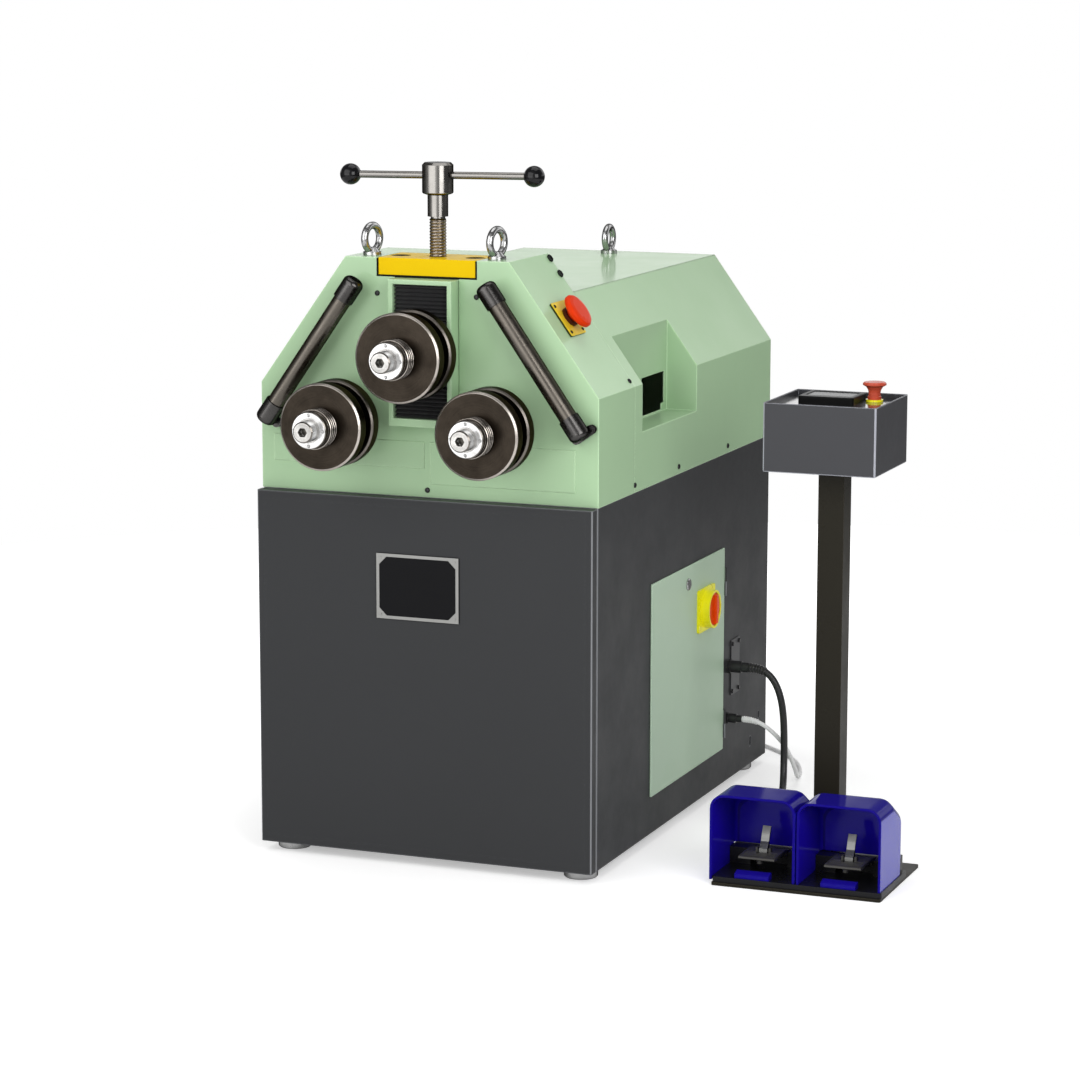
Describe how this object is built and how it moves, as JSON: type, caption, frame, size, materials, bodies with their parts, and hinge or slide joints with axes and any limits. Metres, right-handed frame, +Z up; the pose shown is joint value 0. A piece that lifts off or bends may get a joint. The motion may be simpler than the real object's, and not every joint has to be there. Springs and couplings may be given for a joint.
{
  "type": "ring roller",
  "caption": "Floor-standing section bender with overhung driven rolls, a screw-fed upper roll under a hood, and a separate pedestal control with guarded foot pedals.",
  "frame": {"origin": "on the floor, in the middle of the footprint of the machine and its pedestal together", "axes": "+Z up, -Y towards the rolls and the operator, +X towards the electrical door and the pedestal"},
  "size_m": [1.069, 1.264, 1.171],
  "materials": {
    "cabinet_paint": "satin",
    "hood_paint": "semi-gloss",
    "bridge_paint": "semi-gloss",
    "frame_paint": "satin",
    "plate_black": "gloss",
    "dark_steel": "oiled, turned",
    "bright_steel": "turned",
    "gear_steel": "machined",
    "zinc": "zinc plated",
    "black_steel": "blackened",
    "bellows_rubber": "matte",
    "cast_grey": "painted casting",
    "black_plastic": "matte",
    "gloss_black": "gloss",
    "yellow_plastic": "gloss",
    "red_plastic": "gloss",
    "guard_blue": "gloss",
    "grey_plastic": "matte",
    "cable_black": "matte",
    "cable_white": "satin"
  },
  "bodies": {
    "machine": {"cabinet_shell": "cabinet_paint", "cabinet_front_panel": "cabinet_paint", "badge_plate": "plate_black", "cabinet_feet": "zinc", "main_frame": "frame_paint", "slide_frame": "hood_paint", "bridge": "bridge_paint", "bridge_screws": "black_steel", "front_hood": "hood_paint", "rear_hood": "hood_paint", "eye_bolts": "zinc", "guide_bars": "dark_steel", "bar_brackets": "black_steel", "lower_bearings": "bright_steel", "gearmotor": "cast_grey", "upper_bellows": "bellows_rubber", "lower_bellows": "bellows_rubber", "hood_stop_base": "yellow_plastic", "switchgear": "grey_plastic", "gland_plate": "black_plastic", "control_cable": "cable_black", "mains_cable": "cable_white", "mains_coil": "cable_white", "mains_plug": "red_plastic", "pedestal_stand": "black_steel", "control_box": "cabinet_paint", "control_panel": "cabinet_paint", "display_unit": "gloss_black", "pedal_base": "black_steel", "pedal_guards": "guard_blue"},
    "carriage": {"carriage": "frame_paint", "carriage_bearings": "bright_steel"},
    "screw": {"lift_screw": "bright_steel"},
    "bar": {"tee_bar": "bright_steel", "tee_bar_balls": "gloss_black"},
    "upper_roll": {"upper_shaft": "bright_steel", "upper_roll_discs": "dark_steel", "upper_roll_spacers": "dark_steel", "upper_ring_nut": "bright_steel"},
    "left_roll": {"left_shaft": "bright_steel", "left_roll_discs": "dark_steel", "left_roll_spacers": "dark_steel", "left_ring_nut": "bright_steel", "left_gear": "gear_steel"},
    "right_roll": {"right_shaft": "bright_steel", "right_roll_discs": "dark_steel", "right_roll_spacers": "dark_steel", "right_ring_nut": "bright_steel", "right_gear": "gear_steel"},
    "pinion": {"drive_pinion": "gear_steel"},
    "hood_stop": {"hood_stop_button": "red_plastic"},
    "pedestal_stop": {"pedestal_stop_button": "red_plastic"},
    "door": {"side_door": "hood_paint", "switch_plate": "yellow_plastic"},
    "switch": {"switch_knob": "red_plastic"},
    "lock": {"door_lock": "zinc"},
    "left_pedal": {"left_treadle": "black_plastic"},
    "right_pedal": {"right_treadle": "black_plastic"},
    "left_lever": {"left_latch": "bright_steel"},
    "right_lever": {"right_latch": "bright_steel"}
  },
  "joints": [
    {"name": "carriage_lift", "type": "slide", "parent": "machine", "child": "carriage", "axis": [0, 0, 1], "range_m": [-0.05, 0.025], "deforming": ["upper_bellows", "lower_bellows"]},
    {"name": "screw_turn", "type": "hinge", "parent": "carriage", "child": "screw", "pos_m": [-0.2335, -0.31, 1], "axis": [0, 0, 1], "range_deg": [-3600, 1800]},
    {"name": "bar_slide", "type": "slide", "parent": "screw", "child": "bar", "axis": [0.9829, 0.184, 0], "range_m": [-0.115, 0.1]},
    {"name": "upper_roll_turn", "type": "hinge", "parent": "carriage", "child": "upper_roll", "pos_m": [-0.2335, -0.388, 0.8675], "axis": [0, -1, 0], "continuous": true},
    {"name": "left_roll_turn", "type": "hinge", "parent": "machine", "child": "left_roll", "pos_m": [-0.3705, -0.388, 0.749], "axis": [0, -1, 0], "continuous": true},
    {"name": "right_roll_turn", "type": "hinge", "parent": "machine", "child": "right_roll", "pos_m": [-0.0965, -0.388, 0.749], "axis": [0, -1, 0], "continuous": true},
    {"name": "pinion_turn", "type": "hinge", "parent": "machine", "child": "pinion", "pos_m": [-0.2335, -0.158, 0.7015], "axis": [0, -1, 0], "continuous": true},
    {"name": "hood_stop_press", "type": "slide", "parent": "machine", "child": "hood_stop", "axis": [-0.8094, 0, -0.5873], "range_m": [0, 0.004], "stiffness_N_per_m": 1500, "springref_m": -0.003},
    {"name": "pedestal_stop_press", "type": "slide", "parent": "machine", "child": "pedestal_stop", "axis": [0, 0, -1], "range_m": [0, 0.004], "stiffness_N_per_m": 1500, "springref_m": -0.003},
    {"name": "door_swing", "type": "hinge", "parent": "machine", "child": "door", "pos_m": [0.0701, 0.2856, 0.269], "axis": [0, 0, 1], "range_deg": [0, 100]},
    {"name": "switch_turn", "type": "hinge", "parent": "door", "child": "switch", "pos_m": [0.0765, 0.175, 0.363], "axis": [1, 0, 0], "range_deg": [0, 90]},
    {"name": "lock_turn", "type": "hinge", "parent": "door", "child": "lock", "pos_m": [0.0665, 0.083, 0.422], "axis": [1, 0, 0], "range_deg": [0, 90]},
    {"name": "left_treadle_press", "type": "hinge", "parent": "machine", "child": "left_pedal", "pos_m": [0.3145, -0.194, 0.034], "axis": [1, 0, 0], "range_deg": [0, 12], "stiffness_Nm_per_rad": 4, "springref_deg": -6.88},
    {"name": "left_latch_tip", "type": "hinge", "parent": "left_pedal", "child": "left_lever", "pos_m": [0.3145, -0.232, 0.047], "axis": [-1, 0, 0], "range_deg": [0, 14], "stiffness_Nm_per_rad": 0.4, "springref_deg": -11.46},
    {"name": "right_treadle_press", "type": "hinge", "parent": "machine", "child": "right_pedal", "pos_m": [0.4615, -0.194, 0.034], "axis": [1, 0, 0], "range_deg": [0, 12], "stiffness_Nm_per_rad": 4, "springref_deg": -6.88},
    {"name": "right_latch_tip", "type": "hinge", "parent": "right_pedal", "child": "right_lever", "pos_m": [0.4615, -0.232, 0.047], "axis": [-1, 0, 0], "range_deg": [0, 14], "stiffness_Nm_per_rad": 0.4, "springref_deg": -11.46}
  ],
  "couplings": [
    {"joint": "carriage_lift", "follows": "screw_turn", "m_per_rad": 0.00079577},
    {"joint": "right_roll_turn", "follows": "left_roll_turn", "ratio": 1},
    {"joint": "pinion_turn", "follows": "left_roll_turn", "ratio": -2.625}
  ]
}
